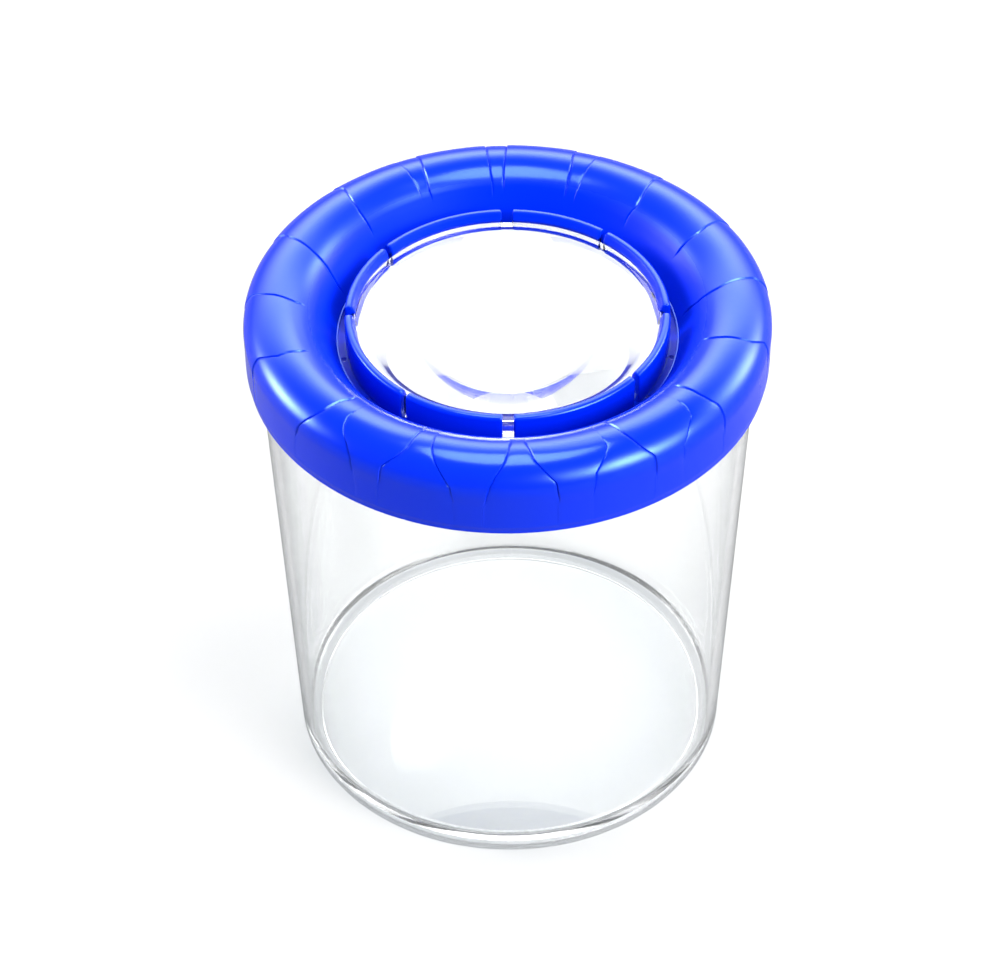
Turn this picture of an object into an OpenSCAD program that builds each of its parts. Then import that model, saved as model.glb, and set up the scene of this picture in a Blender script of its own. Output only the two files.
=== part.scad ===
// Bug catcher jar: a clear tapered jar, a puffy screw lid with a ring of
// snap fingers, and a magnifying lens that snaps into the fingers.
// Millimetres, +Z up, origin at the centre of the foot on the table.

/* [Jar] */
// Height of the jar from the table to its rim
jar_h = 108.4; // [80:0.1:140]
// Diameter of the foot at the table
foot_d = 91; // [80:0.5:96]
// Diameter of the wall where it meets the neck
shoulder_d = 99; // [96:0.1:104]
// Thickness of the side wall
jar_wall = 1.8; // [1.4:0.1:2.4]
// Thickness of the floor, from the table
jar_floor = 3; // [2:0.1:6]
// Radius of the fillet between floor and wall, inside
floor_fillet = 2.4; // [1:0.1:5]
// Width of the ring that the jar stands on
foot_w = 4; // [2:0.1:10]
// Depth of the recess under the floor
foot_recess = 0.8; // [0.4:0.1:1.4]
// Bevel round the outer edge of the foot
foot_bevel = 0.6; // [0.2:0.1:1.2]
// Height of the straight neck under the lid
neck_h = 9.2; // [8.8:0.1:12]
// How far the neck steps in from the wall
neck_step = 0.2; // [0.1:0.05:0.4]
// Bevel on the rim of the jar
rim_bevel = 0.35; // [0.1:0.05:0.4]

/* [Thread] */
// Rise of the lid in one full turn
thread_lead = 16; // [15:0.5:20]
// Number of ridges round the neck, and of lugs in the lid
thread_starts = 4; // [3:1:4]
// Height of a ridge above the neck
ridge_h = 0.75; // [0.5:0.05:1]
// Width of a ridge or lug at its root
ridge_w = 2; // [1.4:0.1:2.2]
// Width of a ridge or lug at its tip
ridge_tip_w = 1.2; // [0.8:0.1:1.4]
// Angle that a ridge covers
ridge_arc = 64; // [40:1:70]
// Angle that a lug covers
lug_arc = 30; // [16:1:36]
// Depth from the jar's rim to the middle of the ridges
ridge_drop = 3.8; // [3.4:0.1:4.2]
// Clearance between a lug's tip and the neck
lug_gap = 0.3; // [0.2:0.05:0.4]
// Clearance between a ridge's tip and the inside of the skirt
ridge_gap = 0.35; // [0.25:0.05:0.6]

/* [Lid] */
// Thickness of the lid's moulding
lid_wall = 1.9; // [1.4:0.1:2.2]
// Height of the crest above the jar's rim
crest_rise = 5.8; // [5.2:0.1:8]
// Length of skirt that hangs below the jar's shoulder
skirt_lap = 0.4; // [0:0.1:2]
// Radius of the outer shoulder of the puffy rim
shoulder_r = 5.6; // [4.5:0.1:6.5]
// Radius across the crest of the rim
crest_r = 8.5; // [7.5:0.1:10]
// Radius of the brow where the crest turns down into the funnel
brow_r = 7; // [6:0.1:7.4]
// Height of the recessed band along the skirt's edge
lip_h = 1.3; // [0.6:0.1:3]
// Depth of that band
lip_step = 0.25; // [0.1:0.05:0.5]
// Width of a crease in the rim
crease_w = 0.7; // [0.4:0.1:1.2]
// Depth of a crease
crease_depth = 0.45; // [0.2:0.05:0.8]
// Depth of the funnel's lower edge below the crest
funnel_drop = 9.9; // [8:0.1:11]
// Thickness of the lid's inner floor
lid_floor = 1.6; // [1.2:0.1:2.4]
// Thickness of the ring inside the lid that meets the jar's rim
stop_t = 1.2; // [0.8:0.1:1.5]

/* [Finger ring] */
// Width of the groove between the funnel's edge and the fingers
groove_w = 1.7; // [1.5:0.1:2.5]
// Depth of the finger tips below the crest
finger_drop = 4.1; // [3:0.1:5]
// Thickness of a finger
finger_t = 1.5; // [1:0.1:1.8]
// Depth of the bead that holds the lens
bead_depth = 0.6; // [0.5:0.05:0.9]
// Height of that bead
bead_h = 1.2; // [0.8:0.1:1.6]
// Width of the slots at the four quarters of the ring
wide_slot = 2.2; // [1:0.1:4]
// Width of the slots between them
narrow_slot = 1.2; // [0.6:0.1:3]
// Turn from each wide slot to the narrow slot after it
narrow_turn = 51; // [40:1:60]
// How far the ledge on each finger reaches under the lens
seat_reach = 0.8; // [0.6:0.1:1.2]
// Thickness of that ledge
seat_t = 1; // [0.8:0.1:1.4]
// Diameter of an air hole in the groove round the fingers
vent_d = 1.2; // [0.8:0.1:1.4]
// Number of air holes
vents = 16; // [8:8:24]

/* [Lens] */
// Diameter of the lens
lens_d = 60.8; // [56:0.1:62]
// Thickness of the lens at its edge
lens_edge = 3.4; // [2.4:0.1:3.6]
// Height of the upper dome
dome_top = 4; // [2:0.1:6]
// Height of the lower dome
dome_under = 3.4; // [2:0.1:3.8]
// Width of the flat rim outside the domes
lens_rim = 1.6; // [1.4:0.1:3]
// Clearance between the lens, or the jar's rim, and the lid
fit_gap = 0.3; // [0.2:0.05:0.4]

/* [Hidden] */
$fn = 96;
// Facets round a whole circle of which only a shallow arc is used
dome_fn = 8 * $fn;

// How far a cut runs past the solid it cuts, and how deep a rib roots
overrun = 0.5;

// Jar
shoulder_z = jar_h - neck_h;
foot_r = foot_d / 2;
wall_lean = (shoulder_d / 2 - foot_r) / shoulder_z;
neck_r = shoulder_d / 2 - neck_step;
floor_r = wall_r(jar_floor) - jar_wall;
mouth_r = wall_r(jar_h) - jar_wall;

// Thread
ridge_r = neck_r + ridge_h;
bore_r = ridge_r + ridge_gap;
lug_r = neck_r + lug_gap;
full_turn = 360;
start_turn = full_turn / thread_starts;
helix_angle = atan(thread_lead / (2 * PI * neck_r));
ridge_z = jar_h - ridge_drop;
lug_z = ridge_z - thread_lead / thread_starts / 2;

// Lens and the ring of fingers round it
lens_r = lens_d / 2;
dome_r = lens_r - lens_rim;
finger_in = lens_r + fit_gap;
seat_r = lens_r - seat_reach;
ring_r = finger_in + finger_t;
funnel_r = ring_r + groove_w;
groove_r = (ring_r + funnel_r) / 2;
tube_r = funnel_r + lid_wall;

// Puffy rim of the lid: three arcs that meet smoothly at these angles
shoulder_end = 55;
crest_end = 105;
lid_r = bore_r + lid_wall;
skirt_z = shoulder_z - skirt_lap;
crest_z = jar_h + crest_rise;
shoulder_lift = crest_r - shoulder_r;
brow_lift = crest_r - brow_r;
shoulder_c = [lid_r - shoulder_r, crest_z - crest_r + shoulder_lift * sin(shoulder_end)];
crest_c = [shoulder_c.x - shoulder_lift * cos(shoulder_end), crest_z - crest_r];
brow_c = crest_c + brow_lift * [cos(crest_end), sin(crest_end)];
to_edge = [funnel_r, crest_z - funnel_drop] - brow_c;
// On a narrow rim the edge lies under the brow, and the brow ends at its wall
brow_end = full_turn + atan2(to_edge.y, to_edge.x) - acos(min(1, brow_r / norm(to_edge)));

// Heights inside the lid
floor_top = skirt_z + lid_floor;
finger_z = crest_z - finger_drop;
lens_top = finger_z - bead_h - finger_t / 2 - fit_gap;
lens_z = lens_top - lens_edge;
seat_z = lens_z - fit_gap;
stop_r = (neck_r + mouth_r) / 2;

// Creases across the rim: the compass turns of their inner and outer ends
crease_turns = [
    [91, 90], [71.5, 73.5], [68.5, 68], [49, 52], [26, 29.5], [4, 9.5], [-19, -10.5],
    [-41, -36.5], [-43.5, -49], [-64, -56], [-65.5, -73], [-87, -79.5], [-89.5, -96],
    [-110, -101.5], [-111, -119], [-132, -124.5], [-133, -140.5], [-157, -163],
    [182, 176], [162, 154], [137.5, 132], [114, 112], [117, 118], [94, 95.5]
];

// Outer radius of the side wall at height z
function wall_r(z) = foot_r + wall_lean * z;

// Radius of the sphere whose cap has height h over a disc of radius r
function cap_r(r, h) = (r * r + h * h) / (2 * h);

// Direction on the section's plane at an angle from the outward radius
function along(turn) = [cos(turn), sin(turn)];

// One ridge or lug of the thread, in the middle of its arc at height z
module thread_arc(root_r, tip_r, arc, z) {
    translate([0, 0, z])
        rotate([helix_angle, 0, 0])
            rotate([0, 0, -arc / 2])
                rotate_extrude(angle = arc)
                    polygon([
                        [root_r, -ridge_w / 2], [tip_r, -ridge_tip_w / 2],
                        [tip_r, ridge_tip_w / 2], [root_r, ridge_w / 2]
                    ]);
}

module thread_ring(root_r, tip_r, arc, z) {
    for (i = [0 : thread_starts - 1])
        rotate([0, 0, i * start_turn])
            thread_arc(root_r, tip_r, arc, z);
}

// Section of the jar's outside, filled to the axis
module jar_outline() {
    polygon([
        [0, 0], [foot_r - foot_bevel, 0], [wall_r(foot_bevel), foot_bevel],
        [wall_r(shoulder_z), shoulder_z], [neck_r, shoulder_z],
        [neck_r, jar_h - rim_bevel], [neck_r - rim_bevel, jar_h], [0, jar_h]
    ]);
}

// Section of the space inside the jar
module jar_space() {
    fillet_c = [floor_r - floor_fillet, jar_floor + floor_fillet];
    fillet_top = wall_r(fillet_c.y) - jar_wall;
    polygon([
        [0, jar_floor], [fillet_c.x, jar_floor], fillet_c, [fillet_top, fillet_c.y],
        [wall_r(jar_h + overrun) - jar_wall, jar_h + overrun], [0, jar_h + overrun]
    ]);
    intersection() {
        translate(fillet_c)
            circle(r = floor_fillet);
        translate([0, jar_floor])
            square([fillet_top, floor_fillet]);
    }
}

module jar() {
    color([0.86, 0.92, 0.93, 0.4]) {
        rotate_extrude()
            difference() {
                jar_outline();
                jar_space();
                translate([0, -overrun])
                    square([foot_r - foot_w, foot_recess + overrun]);
            }
        thread_ring(neck_r - jar_wall / 4, ridge_r, ridge_arc, ridge_z);
    }
}

// Section of the puffy rim, drawn in by inset, from inner_r outwards and
// from low_z upwards
module rim_section(inset, inner_r, low_z) {
    tangent = brow_c + (brow_r - inset) * along(brow_end);
    inner_z = tangent.y - (tangent.x - inner_r) * tan(brow_end - 90);
    wedge = 2 * crest_r;
    intersection() {
        translate([inner_r, low_z])
            square([lid_r, crest_z]);
        union() {
            translate(shoulder_c)
                circle(r = shoulder_r - inset);
            translate(brow_c)
                circle(r = brow_r - inset);
            intersection() {
                translate(crest_c)
                    circle(r = crest_r - inset);
                polygon([
                    crest_c, crest_c + wedge * along(shoulder_end),
                    crest_c + wedge * along(crest_end)
                ]);
            }
            polygon([
                [inner_r, low_z], [lid_r - inset, low_z], [lid_r - inset, shoulder_c.y],
                shoulder_c, crest_c, brow_c, tangent, [inner_r, inner_z]
            ]);
        }
    }
}

// The creases: upright blades that cut only the skin of the rim
module creases() {
    inner_r = brow_c.x - brow_r / 2;
    outer_r = lid_r + crease_w;
    blade_h = crest_z - skirt_z + overrun;
    intersection() {
        rotate_extrude()
            difference() {
                translate([funnel_r, skirt_z + lip_h])
                    square([outer_r - funnel_r, blade_h]);
                rim_section(crease_depth, funnel_r, skirt_z);
            }
        union() {
            for (ends = crease_turns) {
                inner_end = inner_r * along(ends[0]);
                run = outer_r * along(ends[1]) - inner_end;
                translate([inner_end.x, inner_end.y, skirt_z])
                    rotate([0, 0, atan2(run.y, run.x)])
                        translate([0, -crease_w / 2, 0])
                            cube([norm(run), crease_w, blade_h]);
            }
        }
    }
}

// The rim's skin over the hollow that the jar's neck goes into
module rim_shell() {
    difference() {
        rotate_extrude()
            difference() {
                rim_section(0, funnel_r, skirt_z);
                rim_section(lid_wall, tube_r, skirt_z - overrun);
                translate([lid_r - lip_step, skirt_z - overrun])
                    square([lip_step + overrun, lip_h + overrun]);
            }
        creases();
    }
}

// The ring inside the rim that the jar's edge closes against
module stop_ring() {
    rotate_extrude()
        intersection() {
            translate([stop_r - stop_t / 2, jar_h + fit_gap])
                square([stop_t, crest_rise]);
            rim_section(lid_wall / 2, tube_r, skirt_z);
        }
}

// The snap fingers: one ring with a ledge under the lens and a bead over it,
// cut into eight by slots
module fingers() {
    bead_z = lens_top + fit_gap;
    tip_z = finger_z - finger_t / 2;
    slot_l = ring_r - seat_r + 2 * overrun;
    difference() {
        rotate_extrude() {
            translate([finger_in, floor_top - overrun])
                square([finger_t, tip_z - floor_top + overrun]);
            translate([finger_in + finger_t / 2, tip_z])
                circle(d = finger_t);
            translate([seat_r, seat_z - seat_t])
                square([finger_in + overrun - seat_r, seat_t]);
            polygon([
                [finger_in + overrun, bead_z], [finger_in - bead_depth, bead_z],
                [finger_in - bead_depth, bead_z + bead_h / 2],
                [finger_in, bead_z + bead_h], [finger_in + overrun, bead_z + bead_h]
            ]);
        }
        for (quarter = [0 : 3])
            for (slot = [[0, wide_slot], [narrow_turn, narrow_slot]])
                rotate([0, 0, quarter * full_turn / 4 + slot[0]])
                    translate([seat_r - overrun, -slot[1] / 2, floor_top])
                        cube([slot_l, slot[1], finger_z]);
    }
}

// The floor between the fingers and the rim, and the air holes through it
module groove_floor() {
    difference() {
        rotate_extrude()
            translate([finger_in, skirt_z])
                square([funnel_r + overrun - finger_in, lid_floor]);
        for (i = [0 : vents - 1])
            rotate([0, 0, (i + 1 / 2) * full_turn / vents])
                translate([groove_r, 0, skirt_z - overrun])
                    cylinder(d = vent_d, h = lid_floor + 2 * overrun);
    }
}

module lid() {
    color([0.1, 0.25, 0.95]) {
        rim_shell();
        stop_ring();
        groove_floor();
        fingers();
        thread_ring(bore_r + lid_wall / 4, lug_r, lug_arc, lug_z);
    }
}

// One dome of the lens: the cap of height h, from its flat side upwards
module dome_section(h) {
    intersection() {
        translate([0, h - cap_r(dome_r, h)])
            circle(r = cap_r(dome_r, h), $fn = dome_fn);
        translate([0, -lens_edge / 2])
            square([dome_r, lens_edge / 2 + h]);
    }
}

module lens() {
    color([0.93, 0.95, 0.97, 0.35])
        rotate_extrude() {
            translate([0, lens_z])
                square([lens_r, lens_edge]);
            translate([0, lens_top])
                dome_section(dome_top);
            translate([0, lens_z])
                mirror([0, 1])
                    dome_section(dome_under);
        }
}

jar();
lid();
lens();
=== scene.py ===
import math

import bmesh
import bpy
import numpy as np
from mathutils import Matrix, Vector


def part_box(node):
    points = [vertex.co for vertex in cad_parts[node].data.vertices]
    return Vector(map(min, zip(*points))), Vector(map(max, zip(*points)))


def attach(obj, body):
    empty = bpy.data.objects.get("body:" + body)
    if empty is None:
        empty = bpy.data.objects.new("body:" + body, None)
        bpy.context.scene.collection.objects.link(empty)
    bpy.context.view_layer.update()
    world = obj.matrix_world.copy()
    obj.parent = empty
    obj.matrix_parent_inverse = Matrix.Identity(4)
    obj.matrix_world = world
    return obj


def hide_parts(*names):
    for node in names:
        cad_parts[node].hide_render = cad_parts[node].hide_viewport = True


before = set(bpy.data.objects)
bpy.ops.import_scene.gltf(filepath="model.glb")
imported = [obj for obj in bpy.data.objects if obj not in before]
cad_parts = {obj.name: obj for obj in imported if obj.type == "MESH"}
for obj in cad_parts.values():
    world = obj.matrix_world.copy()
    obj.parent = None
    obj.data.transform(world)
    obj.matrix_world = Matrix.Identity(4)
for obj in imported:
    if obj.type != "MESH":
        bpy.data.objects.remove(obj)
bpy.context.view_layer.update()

# Lengths below are millimetres, and meshes are made in metres
MM = 0.001
FULL_TURN = 2 * math.pi

# Sizes read from the frame
jar_box, lid_box, lens_box = (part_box(node) for node in ("jar", "lid", "lens"))
RIM_Z = jar_box[1].z / MM
SKIRT_Z = lid_box[0].z / MM
CREST_Z = lid_box[1].z / MM
LID_R = lid_box[1].x / MM
LENS_R = lens_box[1].x / MM
LENS_LOW_Z = lens_box[0].z / MM

# Lid: three arcs across the puffy rim, then the straight funnel
SHOULDER_R = 5.6
CREST_R = 8.5
BROW_R = 9.5
SHOULDER_END = math.radians(55)
CREST_END = math.radians(105)
LID_WALL = 1.9
FUNNEL_R = 33.9
FUNNEL_DROP = 9.9
LIP_H = 1.3
LIP_STEP = 0.25
LID_FLOOR = 1
ARC_STEPS = 8
BORE_R = LID_R - LID_WALL
TUBE_R = FUNNEL_R + LID_WALL
EDGE_ROUND = 0.35
# A narrow step under the funnel's edge catches the light
STEP_W = 0.3
STEP_DROP = 0.2
STEP_BEVEL = 0.1

# Fingers round the lens, and the ledge on each that the lens sits on
FINGER_T = 1.5
FIT_GAP = 0.3
FINGER_IN = LENS_R + FIT_GAP
FINGER_OUT = FINGER_IN + FINGER_T
FINGER_SINK = 4.1
FINGER_Z = CREST_Z - FINGER_SINK
TIP_ROUND_OUT = 0.74
TIP_ROUND_IN = 0.6
END_ROUND = 0.4
END_STEPS = 5
FINGER_STEPS = 25
BEAD_DEPTH = 0.6
BEAD_H = 1.2
BEAD_ROUND = 0.2
BEAD_EDGE_ROUND = 0.05
WIDE_SLOT = 2.2
NARROW_SLOT = 1.2
NARROW_TURN = math.radians(51)
LENS_EDGE = 3.4
LENS_RIM = 1.6
DOME_TOP = 4
DOME_UNDER = 3.4
DOME_R = LENS_R - LENS_RIM
DOME_STEPS = 40
LENS_BEVEL = 0.2
SEAT_REACH = 0.8
SEAT_R = LENS_R - SEAT_REACH
SEAT_T = 1
SEAT_ROUND = 0.15
SEAT_Z = LENS_LOW_Z + DOME_UNDER - FIT_GAP

# Floor of the groove round the fingers, with its air holes. It lies higher here than in the CAD,
# where the lens would show its blue
SEAT_CLEAR = 0.2
FLOOR_TOP = SEAT_Z - SEAT_T - SEAT_CLEAR
FLOOR_Z = FLOOR_TOP - LID_FLOOR
ROOT_LAP = 0.1
FLOOR_IN = FINGER_IN + ROOT_LAP
VENTS = 16
VENT_R = 0.6

# Rings of rougher plastic whose reflection is tinted nearly black: a rougher finish, and painted shade in the
# groove, on the fingers' inner faces and over the funnel. Inner radius and half the width of its soft edge,
# then the outer ones
DULL_AND_PAINTED_SHADE_RINGS = {
    "finger_faces": (FINGER_IN - 1, 0.1, FINGER_IN + FIT_GAP, 0.1),
    "groove": (FINGER_OUT + 0.1, 0.05, FUNNEL_R - STEP_W - 0.05, 0.05),
    "funnel": (FUNNEL_R + 0.15, 0.1, 39.1, 0.8),
}

# Jar
FOOT_R = 45.5
SHOULDER_Z = 99.2
SHOULDER_WALL_R = 49.5
NECK_R = 49.3
JAR_WALL = 1.8
JAR_FLOOR = 3
FLOOR_FILLET = 2.4
FOOT_W = 4
FOOT_RECESS = 0.8
RECESS_ROUND = 0.3
FOOT_ROUND = 0.25
FOOT_BEVEL = 0.6
SHOULDER_ROUND = 0.15
RIM_BEVEL = 0.35

# Stop ring
RING_T = 1.2
RING_H = 2.6
RING_ROUND = 0.2

# Thread
THREAD_LEAD = 16
THREAD_STARTS = 4
RIDGE_H = 0.75
RIDGE_W = 2
RIDGE_TIP_W = 1.2
RIDGE_ARC = math.radians(64)
LUG_ARC = math.radians(30)
RIDGE_DOWN = 3.8
RIDGE_Z = RIM_Z - RIDGE_DOWN
LUG_Z = RIDGE_Z - THREAD_LEAD / THREAD_STARTS / 2
LUG_R = NECK_R + FIT_GAP
# Share of a ridge over which it thins, steps along it, and share of its height left at its ends
RIDGE_TAPER = 0.16
RIDGE_STEPS = 36
RIDGE_END = 0.04

# Camera, as fitted to the photograph
IMAGE_W, IMAGE_H = 1000, 961
SENSOR_W = 36
FOCAL_PX = 3293.3
CAMERA_Y = -496.9
CAMERA_Z = 529.1
PITCH = math.radians(43.45)
CENTRE_PX = (508.64, 500)
ROLL = -0.0062

# Distance of the holding points from the ends of a straight run, and the largest share of it
HOLD = 0.2
HOLD_SHARE = 0.25
SMOOTH_ANGLE = 35
TINY = 1e-9


def shade_smooth(mesh, smooth_angle=SMOOTH_ANGLE):
    """Shades a mesh smooth but for its sharp edges."""
    bm = bmesh.new()
    bm.from_mesh(mesh)
    bmesh.ops.recalc_face_normals(bm, faces=bm.faces)
    sharp = math.radians(smooth_angle)
    for edge in bm.edges:
        edge.smooth = not (len(edge.link_faces) == 2 and edge.calc_face_angle(0) > sharp)
    for face in bm.faces:
        face.smooth = True
    bm.to_mesh(mesh)
    bm.free()


def make_mesh(name, vertices, faces, smooth_angle=SMOOTH_ANGLE):
    """A mesh object from millimetre vertices."""
    mesh = bpy.data.meshes.new(name)
    mesh.from_pydata((np.asarray(vertices, float) * MM).tolist(), [], faces)
    mesh.update()
    shade_smooth(mesh, smooth_angle)
    piece = bpy.data.objects.new(name, mesh)
    bpy.context.scene.collection.objects.link(piece)
    return piece


def grid_faces(rows, columns, wrap_rows=True, wrap_columns=True):
    """Quads over a grid of rows by columns, closed round where it wraps."""
    faces = []
    for i in range(rows if wrap_rows else rows - 1):
        for j in range(columns if wrap_columns else columns - 1):
            i2, j2 = (i + 1) % rows, (j + 1) % columns
            faces.append((i * columns + j, i * columns + j2, i2 * columns + j2, i2 * columns + j))
    return faces


def arc(centre, radius, start, end, steps):
    turns = np.linspace(start, end, steps + 1)
    return [(centre[0] + radius * math.cos(t), centre[1] + radius * math.sin(t)) for t in turns]


def rounded(corners, steps=5):
    """A closed outline whose corners (x, z, radius) are rounded."""
    points = []
    count = len(corners)
    for i, (x, z, radius) in enumerate(corners):
        here = np.array((x, z), float)
        if not radius:
            points.append(tuple(here))
            continue
        to_last = np.array(corners[i - 1][:2]) - here
        to_next = np.array(corners[(i + 1) % count][:2]) - here
        to_last /= np.linalg.norm(to_last)
        to_next /= np.linalg.norm(to_next)
        half = math.acos(np.clip(to_last @ to_next, -1, 1)) / 2
        centre = here + (to_last + to_next) / np.linalg.norm(to_last + to_next) * radius / math.sin(half)
        first = here + to_last * radius / math.tan(half) - centre
        last = here + to_next * radius / math.tan(half) - centre
        start = math.atan2(first[1], first[0])
        sweep = (math.atan2(last[1], last[0]) - start + math.pi) % FULL_TURN - math.pi
        points += arc(centre, radius, start, start + sweep, steps)
    return points


def held(section, wrap):
    """The section with a point near each end of its long straight runs, so that they shade as flat."""
    points = []
    for i, here in enumerate(section):
        points.append(here)
        if i + 1 == len(section) and not wrap:
            break
        onward = section[(i + 1) % len(section)] - here
        share = HOLD / np.hypot(*onward)
        if share < HOLD_SHARE:
            points += [here + onward * share, here + onward * (1 - share)]
    return np.array(points)


def lathe(name, section, columns=256):
    """A closed solid of revolution. A section that starts and ends on the axis is capped there."""
    section = np.array(section, float)
    turns = np.arange(columns) * FULL_TURN / columns
    on_axis = section[0, 0] < TINY and section[-1, 0] < TINY
    section = held(section, wrap=not on_axis)
    ring = section[1:-1] if on_axis else section
    vertices = [(r * math.cos(t), r * math.sin(t), z) for r, z in ring for t in turns]
    faces = grid_faces(len(ring), columns, wrap_rows=not on_axis)
    if on_axis:
        first, last = len(vertices), len(vertices) + 1
        vertices += [(0, 0, section[0, 1]), (0, 0, section[-1, 1])]
        base = (len(ring) - 1) * columns
        for j in range(columns):
            j2 = (j + 1) % columns
            faces += [(first, j2, j), (last, base + j, base + j2)]
    return make_mesh(name, vertices, faces)


def boolean(piece, cutter, operation):
    """Joins or cuts, and leaves the result in the piece."""
    modifier = piece.modifiers.new("cut", "BOOLEAN")
    modifier.object = cutter
    modifier.operation = operation
    modifier.solver = "MANIFOLD"
    graph = bpy.context.evaluated_depsgraph_get()
    mesh = bpy.data.meshes.new_from_object(piece.evaluated_get(graph))
    piece.modifiers.clear()
    shade_smooth(mesh)
    piece.data = mesh
    bpy.data.objects.remove(cutter)


# The rim's outer skin, as a path from the skirt's edge to the funnel's edge
shoulder_lift = CREST_R - SHOULDER_R
brow_lift = CREST_R - BROW_R
shoulder_c = (LID_R - SHOULDER_R, CREST_Z - CREST_R + shoulder_lift * math.sin(SHOULDER_END))
crest_c = (shoulder_c[0] - shoulder_lift * math.cos(SHOULDER_END), CREST_Z - CREST_R)
brow_c = (crest_c[0] + brow_lift * math.cos(CREST_END), crest_c[1] + brow_lift * math.sin(CREST_END))
funnel_edge = (FUNNEL_R, CREST_Z - FUNNEL_DROP)
to_edge = (funnel_edge[0] - brow_c[0], funnel_edge[1] - brow_c[1])
BROW_END = FULL_TURN + math.atan2(to_edge[1], to_edge[0]) - math.acos(BROW_R / math.hypot(*to_edge))
brow_foot = (brow_c[0] + BROW_R * math.cos(BROW_END), brow_c[1] + BROW_R * math.sin(BROW_END))

wall_s = shoulder_c[1] - SKIRT_Z
shoulder_s = wall_s + SHOULDER_R * SHOULDER_END
crest_s = shoulder_s + CREST_R * (CREST_END - SHOULDER_END)
brow_s = crest_s + BROW_R * (BROW_END - CREST_END)
skin_s = brow_s + math.dist(brow_foot, funnel_edge)


def skin(s):
    """Radius, height and outward slope of the rim's skin at a length s along its path."""
    if s <= wall_s:
        return LID_R, SKIRT_Z + s, 0
    if s <= shoulder_s:
        centre, radius, turn = shoulder_c, SHOULDER_R, (s - wall_s) / SHOULDER_R
    elif s <= crest_s:
        centre, radius, turn = crest_c, CREST_R, SHOULDER_END + (s - shoulder_s) / CREST_R
    elif s <= brow_s:
        centre, radius, turn = brow_c, BROW_R, CREST_END + (s - crest_s) / BROW_R
    else:
        share = (s - brow_s) / (skin_s - brow_s)
        return (brow_foot[0] + share * (funnel_edge[0] - brow_foot[0]),
                brow_foot[1] + share * (funnel_edge[1] - brow_foot[1]), BROW_END)
    return centre[0] + radius * math.cos(turn), centre[1] + radius * math.sin(turn), turn


# Creases across the rim, each as its strength and its path over the photograph's pixels
CREASE_PIXELS = {
    "front_a": (1, [(510, 442), (508, 450), (504, 462), (494, 478), (489, 488), (482, 511)]),
    "front_b": (1, [(526, 442), (530, 448), (535, 460), (545, 471), (557, 483), (560, 500)]),
    "front_left_a": (1, [(424, 427), (412, 438), (406, 447), (397, 455), (380, 466), (378, 480), (375, 496)]),
    "front_left_b": (1, [(436, 436), (433, 443), (433, 453), (436, 464), (444, 479), (450, 489), (456, 516)]),
    "left_a": (1, [(350, 398), (340, 400), (324, 409), (313, 415), (304, 420), (298, 425), (293, 446)]),
    "left_b": (0.9, [(349, 416), (344, 426), (344, 434), (347, 446), (350, 458), (356, 486)]),
    "far_left_a": (0.9, [(299, 350), (288, 351), (278, 355), (268, 356), (257, 358)]),
    "far_left_b": (0.7, [(296, 301), (286, 297), (276, 294), (265, 293), (252, 294)]),
    "back_left_a": (1, [(339, 285), (331, 271), (323, 260), (313, 250), (300, 240), (290, 236), (284, 234)]),
    "back_left_b": (1, [(370, 226), (361, 212), (353, 200), (344, 188)]),
    "back_c": (0.35, [(418, 189), (410, 175)]),
    "back_d": (1, [(430, 190), (428, 180), (424, 168), (420, 157)]),
    "back_e": (0.9, [(492, 186), (490, 173), (488, 161), (486, 149)]),
    "back_f": (1, [(504, 180), (505, 163), (507, 148)]),
    "back_g": (1, [(565, 189), (568, 175), (571, 164), (573, 153)]),
    "back_h": (0.4, [(575, 194), (579, 186), (585, 173), (592, 162)]),
    "back_right_a": (1, [(627, 216), (636, 205), (641, 196), (646, 187), (654, 178)]),
    "back_right_b": (1, [(679, 249), (687, 240), (698, 232), (708, 224), (720, 220)]),
    "far_right_a": (1, [(687, 309), (697, 301), (706, 294), (718, 287), (729, 281), (745, 277), (754, 277)]),
    "far_right_b": (0.9, [(710, 337), (721, 336), (731, 336), (741, 338), (753, 341), (765, 342)]),
    "right_a": (1, [(680, 385), (690, 388), (701, 394), (712, 400), (719, 404)]),
    "right_b": (0.9, [(685, 406), (691, 416), (689, 426), (684, 446), (682, 478)]),
    "front_right_a": (1, [(608, 422), (625, 433), (643, 447), (656, 456)]),
    "front_right_b": (0.9, [(606, 445), (604, 457), (596, 473), (592, 500)]),
}
# Heights across a crease: the panel that stands proud, the groove beside it, which is a ridge on the
# skirt, and how far they reach
PANEL_LIFT = 0.12
PANEL_SINK = 0.06
LIFT_REACH = 4
GROOVE_DEPTH = 0.13
RIDGE_RISE = 0.06
GROOVE_W = 0.12
GROOVE_AWAY = 0.14
PANEL_PUFF = 0.08
# The skin lies this far inside the plain one, so that the proud panels reach it
SKIN_SINK = PANEL_LIFT + PANEL_PUFF
# A crease's strength on the skirt below it, and the lengths over which it fades
SKIRT_STRENGTH = 0.3
FADE = 2.5
SKIRT_FADE = 1.2
# Distances of the mesh's columns from a crease, and the widest column between creases
NEAR_COLUMNS = (0.05, 0.13, 0.21, 0.32, 0.5, 0.8, 1.3, 2)
COLUMN_W = 1.5
ROW_W = 0.45
# The columns near a crease take up at most this share of the gap to the next one
NEAR_SHARE = 0.42
# Points on the skin's path, and the stretch of a pixel's ray that is searched for the rim
PATH_POINTS = 1500
RAY_START, RAY_END, RAY_STEPS = 450, 900, 9000


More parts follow.
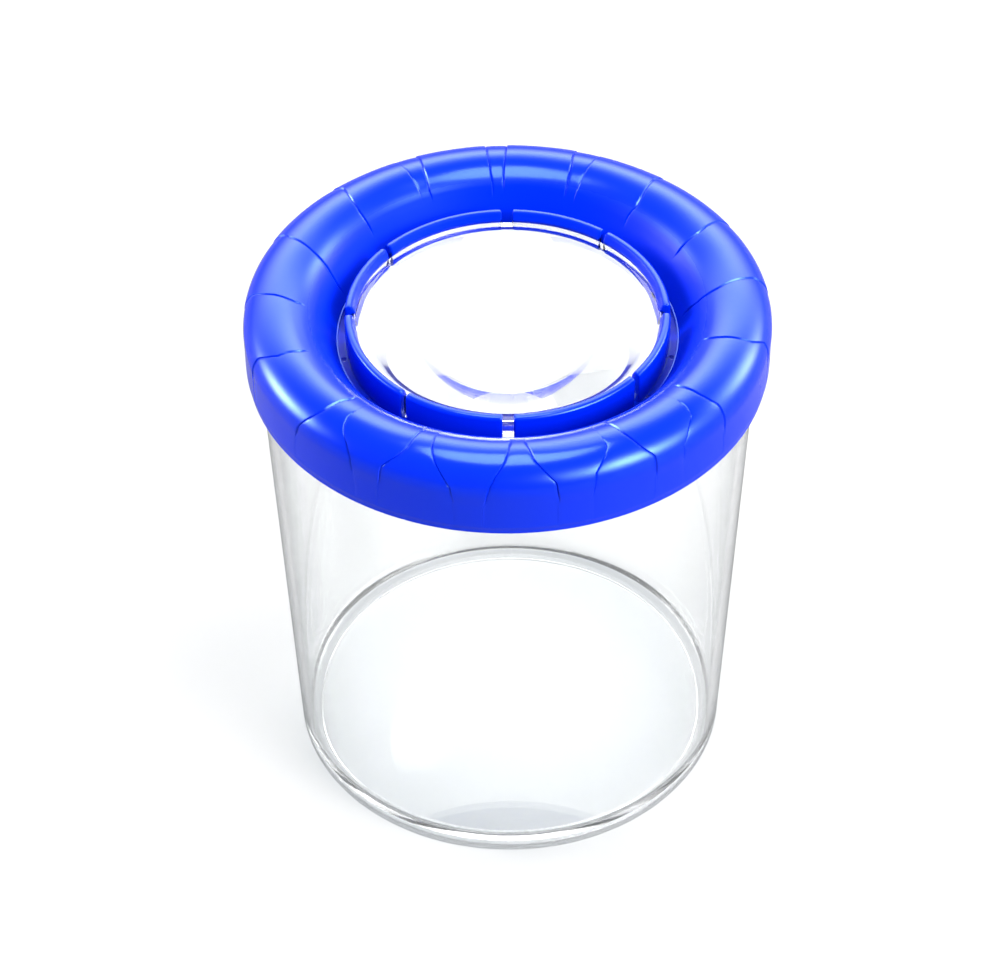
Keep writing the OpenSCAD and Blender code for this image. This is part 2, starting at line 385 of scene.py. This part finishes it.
def pixel_ray(pixel):
    """Start and direction, in millimetres, of the ray through a pixel of the photograph."""
    x, y = (pixel[0] - CENTRE_PX[0]) / FOCAL_PX, (pixel[1] - CENTRE_PX[1]) / FOCAL_PX
    cos_r, sin_r = math.cos(ROLL), math.sin(ROLL)
    right, down = x * cos_r + y * sin_r, -x * sin_r + y * cos_r
    cos_p, sin_p = math.cos(PITCH), math.sin(PITCH)
    return np.array((0, CAMERA_Y, CAMERA_Z)), np.array((right, cos_p - down * sin_p, -sin_p - down * cos_p))


path_s = np.linspace(0, skin_s, PATH_POINTS)
path_points = np.array([skin(s)[:2] for s in path_s])


def on_rim(pixel):
    """Turn and path length of the place on the rim's skin that a pixel shows."""
    start, direction = pixel_ray(pixel)
    points = start + direction * np.linspace(RAY_START, RAY_END, RAY_STEPS + 1)[:, None]
    radii = np.hypot(points[:, 0], points[:, 1])
    tops = np.interp(radii, path_points[::-1, 0], path_points[::-1, 1])
    inside = (radii < LID_R) & (radii > FUNNEL_R) & (points[:, 2] < tops) & (points[:, 2] > SKIRT_Z)
    hit = points[inside.argmax()]
    away = np.hypot(path_points[:, 0] - math.hypot(hit[0], hit[1]), path_points[:, 1] - hit[2])
    return math.atan2(hit[1], hit[0]), path_s[away.argmin()]


def crease_paths():
    """Each crease as strength, turns and path lengths from the skirt inwards, in order of turn."""
    paths = []
    for strength, pixels in CREASE_PIXELS.values():
        turns, lengths = zip(*sorted((on_rim(p) for p in pixels), key=lambda place: place[1]))
        paths.append((strength, np.unwrap(turns), np.array(lengths)))
    return sorted(paths, key=lambda path: path[1][0] % FULL_TURN)


def smooth_step(x):
    x = np.clip(x, 0, 1)
    return x * x * (3 - 2 * x)


def crease_height(away, strength, depth):
    """Height of the skin at a distance from a crease. The panel on the positive side is proud."""
    proud = PANEL_LIFT * np.exp(-away / LIFT_REACH)
    sunk = -PANEL_SINK * np.exp(away / LIFT_REACH)
    groove = depth * np.exp(-(((away + GROOVE_AWAY) / GROOVE_W) ** 2))
    return strength * np.where(away > 0, proud, sunk) * smooth_step(abs(away) / NEAR_COLUMNS[1]) - groove


def rim_skin():
    """Grid of the creased skin, rows from the skirt's edge to the funnel's edge."""
    paths = crease_paths()
    rows = np.linspace(0, skin_s, round(skin_s / ROW_W) + 1)
    turns, strengths, depths = [], [], []
    for strength, crease_turns, lengths in paths:
        turns.append(np.interp(rows, lengths, crease_turns))
        body = smooth_step((lengths[-1] + FADE - rows) / FADE)
        above = smooth_step((rows - wall_s + FADE) / FADE)
        lip = smooth_step((rows - LIP_H) / SKIRT_FADE)
        strengths.append(strength * body * lip * (SKIRT_STRENGTH + (1 - SKIRT_STRENGTH) * above))
        depths.append(strength * body * lip * (above * (GROOVE_DEPTH + RIDGE_RISE) - RIDGE_RISE))
    turns, strengths, depths = np.array(turns), np.array(strengths), np.array(depths)
    signs = [1 if path[1][0] > path[1][-1] else -1 for path in paths]
    # Turns rise from each crease to the next, and the last gap closes the circle
    turns -= FULL_TURN * np.round((turns - turns.mean(1, keepdims=True)) / FULL_TURN)
    start = turns[0].mean()
    turns += FULL_TURN * np.ceil((start - turns.mean(1, keepdims=True)) / FULL_TURN - TINY)
    order = np.argsort(turns.mean(1))
    turns, strengths, depths = turns[order], strengths[order], depths[order]
    signs = [signs[i] for i in order]

    radii = np.array([skin(s)[0] for s in rows])
    columns, heights = [], []
    for k in range(len(turns)):
        following = (k + 1) % len(turns)
        gap = turns[following] - turns[k] + (FULL_TURN if following == 0 else 0)
        widest = (gap * radii).max()
        middle = max(2, round((widest - 2 * NEAR_COLUMNS[-1]) / COLUMN_W))
        near = len(NEAR_COLUMNS)
        limits = NEAR_SHARE * np.arange(1, near + 1) / near
        offsets = [np.minimum(d / radii, limit * gap) for d, limit in zip(NEAR_COLUMNS, limits)]
        inner = [offsets[-1] + (gap - 2 * offsets[-1]) * i / middle for i in range(1, middle)]
        places = [0 * gap] + offsets + inner + [gap - o for o in offsets[::-1]]
        for place in places:
            after, before = place * radii, (place - gap) * radii
            height = crease_height(signs[k] * after, strengths[k], depths[k])
            height += crease_height(signs[following] * before, strengths[following], depths[following])
            share = place / gap
            fade = np.minimum(strengths[k], strengths[following])
            height += PANEL_PUFF * (1 - (2 * share - 1) ** 4) * fade
            columns.append(turns[k] + place)
            heights.append(height)
    return rows, np.array(columns).T, np.array(heights).T


def build_rim():
    """The lid's moulding: creased skin outside, plain walls and the groove's floor inside."""
    rows, turns, heights = rim_skin()
    radius, height = [], []
    for s, lift in zip(rows, heights):
        r, z, slope = skin(s)
        inset = SKIN_SINK + LIP_STEP * smooth_step((LIP_H - s) / LIP_STEP)
        radius.append(r + (lift - inset) * math.cos(slope))
        height.append(z + (lift - inset) * math.sin(slope))
    count = turns.shape[1]
    step_z = funnel_edge[1] - SKIN_SINK - STEP_DROP
    step_r = FUNNEL_R - STEP_W
    inner = [(FUNNEL_R, step_z), (step_r + STEP_BEVEL, step_z), (step_r, step_z - STEP_BEVEL),
             (step_r, FLOOR_TOP), (FLOOR_IN, FLOOR_TOP), (FLOOR_IN, FLOOR_Z), (TUBE_R, FLOOR_Z)]
    tangent = (brow_c[0] + (BROW_R - LID_WALL) * math.cos(BROW_END),
               brow_c[1] + (BROW_R - LID_WALL) * math.sin(BROW_END))
    tube_z = tangent[1] - (tangent[0] - TUBE_R) * math.tan(BROW_END - math.pi / 2)
    inner += [(TUBE_R, tube_z)]
    inner += arc(brow_c, BROW_R - LID_WALL, BROW_END, CREST_END, ARC_STEPS)
    inner += arc(crest_c, CREST_R - LID_WALL, CREST_END, SHOULDER_END, ARC_STEPS)
    inner += arc(shoulder_c, SHOULDER_R - LID_WALL, SHOULDER_END, 0, ARC_STEPS)
    inner += [(BORE_R, SKIRT_Z), (LID_R - LIP_STEP - EDGE_ROUND, SKIRT_Z)]
    inner = np.array(inner)
    share = np.concatenate([[0], np.cumsum(np.hypot(*np.diff(inner, axis=0).T))])
    share /= share[-1]
    all_turns = np.vstack([turns, turns[-1] + share[:, None] * (turns[0] - turns[-1])])
    all_radius = np.vstack([radius, np.repeat(inner[:, :1], count, 1)])
    all_height = np.vstack([height, np.repeat(inner[:, 1:], count, 1)])
    points = np.stack([all_radius * np.cos(all_turns), all_radius * np.sin(all_turns), all_height], -1)
    return make_mesh("lid_rim", points.reshape(-1, 3), grid_faces(*all_turns.shape))


def build_vents(rim):
    """Air holes through the floor of the groove round the fingers."""
    groove_r = (FINGER_OUT + FUNNEL_R - STEP_W) / 2
    outline = arc((0, 0), VENT_R, 0, FULL_TURN, 24)[:-1]
    vertices, faces = [], []
    for i in range(VENTS):
        turn = (i + 0.5) * FULL_TURN / VENTS
        centre = (groove_r * math.cos(turn), groove_r * math.sin(turn))
        base = len(vertices)
        for z in (FLOOR_Z - VENT_R, FLOOR_TOP + VENT_R):
            vertices += [(centre[0] + x, centre[1] + y, z) for x, y in outline]
        count = len(outline)
        faces += [(base + j, base + (j + 1) % count, base + count + (j + 1) % count, base + count + j)
                  for j in range(count)]
        faces += [tuple(range(base + count - 1, base - 1, -1)), tuple(range(base + count, base + 2 * count))]
    boolean(rim, make_mesh("vent_cutter", vertices, faces), "DIFFERENCE")


def build_fingers():
    """Eight snap fingers with a ledge under the lens and a bead over it, rounded at their ends."""
    root_z = FLOOR_TOP - LID_FLOOR / 3
    bead_z = SEAT_Z + LENS_EDGE + 2 * FIT_GAP
    bead_r = FINGER_IN - BEAD_DEPTH
    section = rounded([
        (FINGER_IN, root_z, 0), (FINGER_OUT, root_z, 0), (FINGER_OUT, FINGER_Z, TIP_ROUND_OUT),
        (FINGER_IN, FINGER_Z, TIP_ROUND_IN), (bead_r, bead_z + BEAD_H / 3, BEAD_ROUND),
        (bead_r, bead_z, BEAD_EDGE_ROUND), (FINGER_IN, bead_z, 0), (FINGER_IN, SEAT_Z, 0),
        (SEAT_R, SEAT_Z, SEAT_ROUND), (SEAT_R, SEAT_Z - SEAT_T, SEAT_ROUND), (FINGER_IN, SEAT_Z - SEAT_T, 0),
    ], steps=6)
    section = np.array(section)
    along = np.roll(section, -1, 0) - np.roll(section, 1, 0)
    along /= np.linalg.norm(along, axis=1, keepdims=True)
    outward = np.stack([along[:, 1], -along[:, 0]], 1)
    slots = sorted([(q * FULL_TURN / 4, WIDE_SLOT) for q in range(4)]
                   + [(q * FULL_TURN / 4 + NARROW_TURN, NARROW_SLOT) for q in range(4)])
    vertices, faces = [], []
    middle_r = FINGER_IN + FINGER_T / 2
    # How far round and how far in the section goes at each station of a finger's rounded end
    caps = [(END_ROUND * (1 - math.cos(a)) / middle_r, END_ROUND * (1 - math.sin(a)))
            for a in np.linspace(0, math.pi / 2, END_STEPS + 1)]
    for k, (turn, slot) in enumerate(slots):
        next_turn, next_slot = slots[(k + 1) % len(slots)]
        next_turn += FULL_TURN if next_turn <= turn else 0
        begin, end = turn + slot / 2 / middle_r, next_turn - next_slot / 2 / middle_r
        stations = [(begin + turned, inset) for turned, inset in caps]
        between = np.linspace(begin + caps[-1][0], end - caps[-1][0], FINGER_STEPS + 1)[1:-1]
        stations += [(t, 0) for t in between]
        stations += [(end - turned, inset) for turned, inset in caps[::-1]]
        base, count = len(vertices), len(section)
        for t, inset in stations:
            for r, z in section - outward * inset:
                vertices.append((r * math.cos(t), r * math.sin(t), z))
        faces += [tuple(base + i for i in face)
                  for face in grid_faces(len(stations), count, wrap_rows=False)]
        last = base + (len(stations) - 1) * count
        faces += [tuple(range(base + count - 1, base - 1, -1)), tuple(range(last, last + count))]
    return make_mesh("snap_fingers", vertices, faces, smooth_angle=50)


def helix_ribs(name, root_r, tip_r, rib_arc, middle_z):
    """The ridges or lugs of the thread, each climbing with the lead and thinning to its ends."""
    vertices, faces = [], []
    for i in range(THREAD_STARTS):
        base = len(vertices)
        for share in np.linspace(-0.5, 0.5, RIDGE_STEPS + 1):
            turn = i * FULL_TURN / THREAD_STARTS + share * rib_arc
            z = middle_z + share * rib_arc / FULL_TURN * THREAD_LEAD
            full = smooth_step((0.5 - abs(share)) / RIDGE_TAPER) * (1 - RIDGE_END) + RIDGE_END
            tip = root_r + (tip_r - root_r) * full
            for r, dz in ((root_r, -RIDGE_W / 2), (tip, -RIDGE_TIP_W / 2), (tip, RIDGE_TIP_W / 2),
                          (root_r, RIDGE_W / 2)):
                vertices.append((r * math.cos(turn), r * math.sin(turn), z + dz))
        faces += [tuple(base + v for v in face)
                  for face in grid_faces(RIDGE_STEPS + 1, 4, wrap_rows=False)]
        last = base + RIDGE_STEPS * 4
        faces += [(base + 3, base + 2, base + 1, base), (last, last + 1, last + 2, last + 3)]
    return make_mesh(name, vertices, faces)


def wall_r(z):
    return FOOT_R + (SHOULDER_WALL_R - FOOT_R) * z / SHOULDER_Z


def build_jar():
    """The clear jar: recessed foot, tapered wall, filleted floor and a threaded neck."""
    inner = [(0, JAR_FLOOR), (wall_r(JAR_FLOOR) - JAR_WALL, JAR_FLOOR),
             (wall_r(RIM_Z) - JAR_WALL, RIM_Z)]
    section = rounded([
        (0, FOOT_RECESS, 0), (FOOT_R - FOOT_W, FOOT_RECESS, RECESS_ROUND), (FOOT_R - FOOT_W, 0, FOOT_ROUND),
        (FOOT_R, 0, FOOT_BEVEL), (wall_r(SHOULDER_Z), SHOULDER_Z, SHOULDER_ROUND), (NECK_R, SHOULDER_Z, 0),
        (NECK_R, RIM_Z, RIM_BEVEL), (*inner[2], RIM_BEVEL), (*inner[1], FLOOR_FILLET), (*inner[0], 0),
    ], steps=10)
    jar = lathe("jar_body", section, columns=360)
    ridges = helix_ribs("ridges", NECK_R - JAR_WALL / 4, NECK_R + RIDGE_H, RIDGE_ARC, RIDGE_Z)
    boolean(jar, ridges, "UNION")
    return jar


def cap(radius, height):
    """Points of a spherical cap from its edge to the axis, as radius and rise."""
    sphere_r = (radius ** 2 + height ** 2) / (2 * height)
    return [(r, math.sqrt(sphere_r ** 2 - r ** 2) - sphere_r + height)
            for r in np.linspace(radius, 0, DOME_STEPS)]


def build_lens():
    """The magnifier: domed on both sides inside a flat rim."""
    low = SEAT_Z + FIT_GAP
    top = low + LENS_EDGE
    under = [(r, low - rise) for r, rise in cap(DOME_R, DOME_UNDER)][::-1]
    over = [(r, top + rise) for r, rise in cap(DOME_R, DOME_TOP)]
    edge = [(LENS_R - LENS_BEVEL, low), (LENS_R, low + LENS_BEVEL),
            (LENS_R, top - LENS_BEVEL), (LENS_R - LENS_BEVEL, top)]
    return lathe("lens_glass", under + edge + over, columns=256)


def build_stop_ring():
    """The ring inside the rim that the jar's edge closes against."""
    middle = (NECK_R + wall_r(RIM_Z) - JAR_WALL) / 2
    low, high = RIM_Z + FIT_GAP, RIM_Z + FIT_GAP + RING_H
    near, far = middle - RING_T / 2, middle + RING_T / 2
    return lathe("stop_ring", rounded([(near, low, RING_ROUND), (far, low, RING_ROUND),
                                       (far, high, 0), (near, high, 0)]))


# Materials. The powers say how steeply clear plastic darkens towards grazing angles, as painted shade for
# what is seen through it, and as dimming for light on its way through
GRAZE_POWER = 7
SHADE_POWER = 2


def new_material(name):
    material = bpy.data.materials.new(name)
    material.use_nodes = True
    return material, material.node_tree, material.node_tree.nodes["Principled BSDF"]


def math_node(tree, operation, first, second=None):
    node = tree.nodes.new("ShaderNodeMath")
    node.operation = operation
    for socket, value in zip(node.inputs, (first, second)):
        if isinstance(value, bpy.types.NodeSocket):
            tree.links.new(value, socket)
        elif value is not None:
            socket.default_value = value
    return node.outputs["Value"]


def fine_noise(tree, scale, detail=3):
    """Noise over the object's own coordinates."""
    coordinates = tree.nodes.new("ShaderNodeTexCoord")
    noise = tree.nodes.new("ShaderNodeTexNoise")
    noise.inputs["Scale"].default_value = scale
    noise.inputs["Detail"].default_value = detail
    tree.links.new(coordinates.outputs["Object"], noise.inputs["Vector"])
    return noise


def spread(tree, source, low, high):
    """A value from 0 to 1 spread between low and high."""
    ranged = tree.nodes.new("ShaderNodeMapRange")
    ranged.inputs["To Min"].default_value = low
    ranged.inputs["To Max"].default_value = high
    tree.links.new(source, ranged.inputs["Value"])
    return ranged.outputs["Result"]


def bump(tree, source, shader, strength, distance):
    node = tree.nodes.new("ShaderNodeBump")
    node.inputs["Strength"].default_value = strength
    node.inputs["Distance"].default_value = distance
    tree.links.new(source, node.inputs["Height"])
    tree.links.new(node.outputs["Normal"], shader.inputs["Normal"])


def within(tree, rings):
    """One inside the rings about the object's axis and nothing elsewhere, with soft edges."""
    flat = tree.nodes.new("ShaderNodeVectorMath")
    flat.operation = "MULTIPLY"
    flat.inputs[1].default_value = (1, 1, 0)
    coordinates = tree.nodes.new("ShaderNodeTexCoord")
    tree.links.new(coordinates.outputs["Object"], flat.inputs[0])
    length = tree.nodes.new("ShaderNodeVectorMath")
    length.operation = "LENGTH"
    tree.links.new(flat.outputs["Vector"], length.inputs[0])
    total = 0.0
    for inner_r, inner_edge, outer_r, outer_edge in rings:
        shares = []
        for low, high in ((inner_r - inner_edge, inner_r + inner_edge),
                          (outer_r + outer_edge, outer_r - outer_edge)):
            ramp = tree.nodes.new("ShaderNodeMapRange")
            ramp.inputs["From Min"].default_value = low * MM
            ramp.inputs["From Max"].default_value = high * MM
            tree.links.new(length.outputs["Value"], ramp.inputs["Value"])
            shares.append(ramp.outputs["Result"])
        total = math_node(tree, "ADD", math_node(tree, "MULTIPLY", *shares), total)
    return total


def colour_mix(tree, factor, first, second):
    mix = tree.nodes.new("ShaderNodeMix")
    mix.data_type = "RGBA"
    mix.inputs["A"].default_value = (*first, 1)
    mix.inputs["B"].default_value = (*second, 1)
    tree.links.new(factor, mix.inputs["Factor"])
    return mix.outputs["Result"]


def blue_plastic():
    """Moulded bright blue plastic with a satin skin, faint flow marks, and rougher rings whose reflection is
    cut nearly away as painted shade.
    """
    material, tree, shader = new_material("blue_plastic")
    flow = fine_noise(tree, 28)
    base = colour_mix(tree, flow.outputs["Fac"], (0.0, 0.014, 0.5), (0.0, 0.018, 0.56))
    tree.links.new(base, shader.inputs["Base Color"])
    dull_and_painted_shade = within(tree, DULL_AND_PAINTED_SHADE_RINGS.values())
    grain = fine_noise(tree, 900, detail=2)
    satin = spread(tree, grain.outputs["Fac"], 0.16, 0.2)
    tree.links.new(math_node(tree, "ADD", satin, spread(tree, dull_and_painted_shade, 0, 0.2)), shader.inputs["Roughness"])
    bump(tree, grain.outputs["Fac"], shader, 0.12, 0.00004)
    shader.inputs["IOR"].default_value = 1.49
    # Painted shade: inside the rings the reflection is tinted nearly black, so no highlight shows there
    tree.links.new(colour_mix(tree, dull_and_painted_shade, (0.45, 0.9, 1), (0.02, 0.05, 0.06)), shader.inputs["Specular Tint"])
    return material


def clear_plastic(name, tint, edge_painted_shade, shade, edge_shade, ior):
    """Clear moulded plastic with faint handling marks, whose colour darkens to a painted shade at grazing
    angles.

    Light on its way to a matte surface goes straight through, and dims where it grazes the plastic.
    """
    material, tree, shader = new_material(name)
    facing = tree.nodes.new("ShaderNodeLayerWeight")
    facing.inputs["Blend"].default_value = 0.5
    # Painted shade: the colour darkens towards the edge colour where the plastic is seen at a grazing angle
    graze = math_node(tree, "POWER", facing.outputs["Facing"], GRAZE_POWER)
    tree.links.new(colour_mix(tree, graze, tint, edge_painted_shade), shader.inputs["Base Color"])
    shader.inputs["Transmission Weight"].default_value = 1
    shader.inputs["IOR"].default_value = ior
    marks = fine_noise(tree, 60, detail=6)
    tree.links.new(spread(tree, marks.outputs["Fac"], 0, 0.03), shader.inputs["Roughness"])
    clear = tree.nodes.new("ShaderNodeBsdfTransparent")
    dim = math_node(tree, "POWER", facing.outputs["Facing"], SHADE_POWER)
    tree.links.new(colour_mix(tree, dim, shade, edge_shade), clear.inputs["Color"])
    path = tree.nodes.new("ShaderNodeLightPath")
    passes = math_node(tree, "MAXIMUM", path.outputs["Is Shadow Ray"], path.outputs["Is Diffuse Ray"])
    mix = tree.nodes.new("ShaderNodeMixShader")
    output = tree.nodes["Material Output"]
    tree.links.new(passes, mix.inputs["Fac"])
    tree.links.new(shader.outputs["BSDF"], mix.inputs[1])
    tree.links.new(clear.outputs["BSDF"], mix.inputs[2])
    tree.links.new(mix.outputs["Shader"], output.inputs["Surface"])
    return material


def floor_material():
    material, tree, shader = new_material("pale_floor")
    noise = fine_noise(tree, 4)
    pale = colour_mix(tree, noise.outputs["Fac"], (0.41, 0.41, 0.41), (0.43, 0.43, 0.43))
    # The photographed object mirrors a floor darker than the white round it
    # Painted reflection: glossy rays that have not come through clear plastic see the floor dark grey
    path = tree.nodes.new("ShaderNodeLightPath")
    seen = tree.nodes.new("ShaderNodeMix")
    seen.data_type = "RGBA"
    seen.inputs["B"].default_value = (0.13, 0.13, 0.13, 1)
    through = math_node(tree, "SUBTRACT", 1.0, path.outputs["Is Transmission Ray"])
    mirrored = math_node(tree, "MULTIPLY", path.outputs["Is Glossy Ray"], through)
    tree.links.new(mirrored, seen.inputs["Factor"])
    tree.links.new(pale, seen.inputs["A"])
    tree.links.new(seen.outputs["Result"], shader.inputs["Base Color"])
    shader.inputs["Roughness"].default_value = 0.7
    return material


# Pieces
def dress(piece, body, slot, material, *nodes):
    piece.data.materials.clear()
    piece.data.materials.append(material)
    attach(piece, body)
    if nodes:
        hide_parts(*nodes)


blue = blue_plastic()
# The second colour of each clear plastic is painted shade for its edges seen at grazing angles
jar_clear = clear_plastic("jar_plastic", (0.985, 0.992, 0.992), (0.02, 0.07, 0.08), (0.995, 0.998, 0.998),
                          (0.5, 0.54, 0.56), 1.5)
lens_clear = clear_plastic("lens_plastic", (0.9, 0.92, 0.94), (0.55, 0.58, 0.66), (0.95, 0.96, 0.97),
                           (0.6, 0.63, 0.66), 1.49)

rim = build_rim()
build_vents(rim)
dress(rim, "lid", "blue_lid", blue, "lid")
dress(build_fingers(), "lid", "blue_lid", blue)
dress(build_stop_ring(), "lid", "blue_lid", blue)
dress(helix_ribs("thread_lugs", BORE_R + LID_WALL / 4, LUG_R, LUG_ARC, LUG_Z), "lid", "blue_lid", blue)
dress(build_jar(), "jar", "clear_jar", jar_clear, "jar")
dress(build_lens(), "lens", "clear_lens", lens_clear, "lens")


# Floor, lights and camera
def stage_floor():
    size = 3
    mesh = bpy.data.meshes.new("floor")
    mesh.from_pydata([(-size, -size, 0), (size, -size, 0), (size, size, 0), (-size, size, 0)],
                     [], [(0, 1, 2, 3)])
    floor = bpy.data.objects.new("floor", mesh)
    mesh.materials.append(floor_material())
    bpy.context.scene.collection.objects.link(floor)


# Soft windows in a dim studio: azimuth, elevation, half width and half height in degrees, radiance
DIM = 0.2
WINDOWS = {
    "left": (167, 17, 13, 12, 31),
    "right": (27, 23, 12, 13, 16.5),
    "front_right": (-38, 33, 16, 14, 28),
    "right_haze": (-5, 20, 30, 20, 1.5),
    "back": (88, 33, 33, 15, 6.8),
}
# A round softbox close over the lid, which its near and far sides see from different angles, in metres
OVERHEAD_D = 0.12
OVERHEAD_PLACE = (0, 0.008, 0.323)
OVERHEAD_RADIANCE = 10


def window(tree, direction, azimuth, elevation, half_width, half_height, radiance):
    """Strength of the light from one soft window, highest along its own axis."""
    a, e = math.radians(azimuth), math.radians(elevation)
    axis = Vector((math.cos(e) * math.cos(a), math.cos(e) * math.sin(a), math.sin(e)))
    place = tree.nodes.new("ShaderNodeMapping")
    place.vector_type = "TEXTURE"
    place.inputs["Rotation"].default_value = axis.to_track_quat("Z", "Y").to_euler()
    place.inputs["Scale"].default_value = (math.sin(math.radians(half_width)),
                                           math.sin(math.radians(half_height)), 1)
    tree.links.new(direction, place.inputs["Vector"])
    apart = tree.nodes.new("ShaderNodeSeparateXYZ")
    tree.links.new(place.outputs["Vector"], apart.inputs["Vector"])
    x, y, z = (apart.outputs[name] for name in "XYZ")
    away = math_node(tree, "ADD", math_node(tree, "MULTIPLY", x, x), math_node(tree, "MULTIPLY", y, y))
    glow = math_node(tree, "POWER", 1 / math.e, away)
    return math_node(tree, "MULTIPLY", math_node(tree, "MULTIPLY", glow, radiance),
                     math_node(tree, "GREATER_THAN", z, 0.0))


def stage_light():
    world = bpy.data.worlds.new("studio")
    bpy.context.scene.world = world
    world.use_nodes = True
    tree = world.node_tree
    direction = tree.nodes.new("ShaderNodeTexCoord").outputs["Generated"]
    strength = DIM
    for sizes in WINDOWS.values():
        strength = math_node(tree, "ADD", window(tree, direction, *sizes), strength)
    background = tree.nodes["Background"]
    background.inputs["Color"].default_value = (1, 1, 1, 1)
    tree.links.new(strength, background.inputs["Strength"])

    light = bpy.data.lights.new("overhead", "AREA")
    light.shape = "DISK"
    light.size = OVERHEAD_D
    light.energy = OVERHEAD_RADIANCE * math.pi * math.pi * OVERHEAD_D ** 2 / 4
    lamp = bpy.data.objects.new("overhead", light)
    lamp.location = OVERHEAD_PLACE
    bpy.context.scene.collection.objects.link(lamp)


def stage_camera():
    camera = bpy.data.cameras.new("camera")
    camera.sensor_width = SENSOR_W
    camera.lens = FOCAL_PX * SENSOR_W / IMAGE_W
    camera.shift_x = (IMAGE_W / 2 - CENTRE_PX[0]) / IMAGE_W
    camera.shift_y = (CENTRE_PX[1] - IMAGE_H / 2) / IMAGE_W
    camera.clip_start, camera.clip_end = 0.01, 20
    eye = bpy.data.objects.new("camera", camera)
    bpy.context.scene.collection.objects.link(eye)
    place = Matrix.Translation((0, CAMERA_Y * MM, CAMERA_Z * MM))
    eye.matrix_world = place @ Matrix.Rotation(math.pi / 2 - PITCH, 4, "X") @ Matrix.Rotation(ROLL, 4, "Z")
    bpy.context.scene.camera = eye


stage_floor()
stage_light()
stage_camera()
bpy.context.scene.view_settings.view_transform = "Standard"
# Light bounces many times inside the clear walls
bounces = bpy.context.scene.cycles
bounces.max_bounces = 32
bounces.transmission_bounces = 32
bounces.glossy_bounces = 24

bpy.context.view_layer.update()
